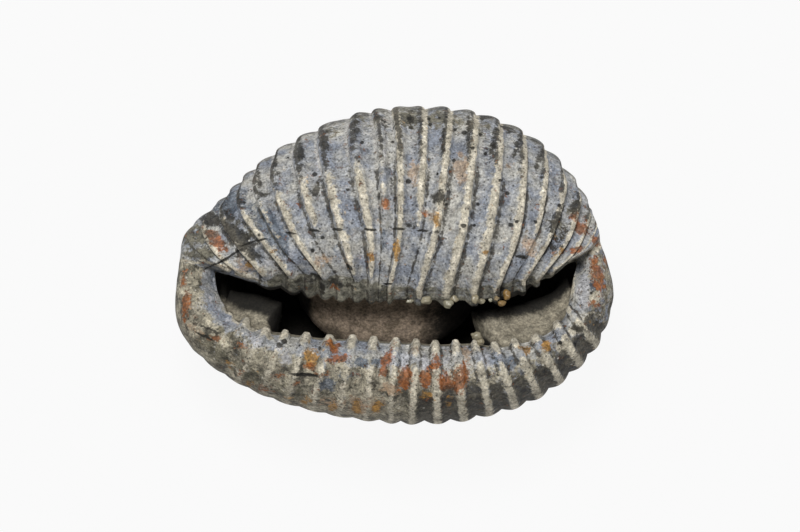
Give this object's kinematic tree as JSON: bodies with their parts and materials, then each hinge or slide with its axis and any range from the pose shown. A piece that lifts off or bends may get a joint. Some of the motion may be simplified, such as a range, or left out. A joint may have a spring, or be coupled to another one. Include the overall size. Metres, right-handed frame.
{
  "type": "cowrie shell",
  "caption": "Small egg-shaped ribbed cowrie shell, a weathered fossil, lying on its back with its narrow toothed mouth and inner coil facing up.",
  "frame": {"origin": "centre of the bounding box in plan, on the surface that the shell's back rests on", "axes": "+X along the shell from its narrow front end to its broad rear end, +Y across the mouth from the outer lip to the rolled body, +Z out of the mouth"},
  "size_m": [0.012, 0.0088, 0.0066],
  "materials": {
    "fossil_shell": "weathered fossil shell, matt: cream ribs, blue-grey grooves, rust and ochre stains"
  },
  "bodies": {
    "root": {"shell": "fossil_shell"}
  },
  "joints": []
}
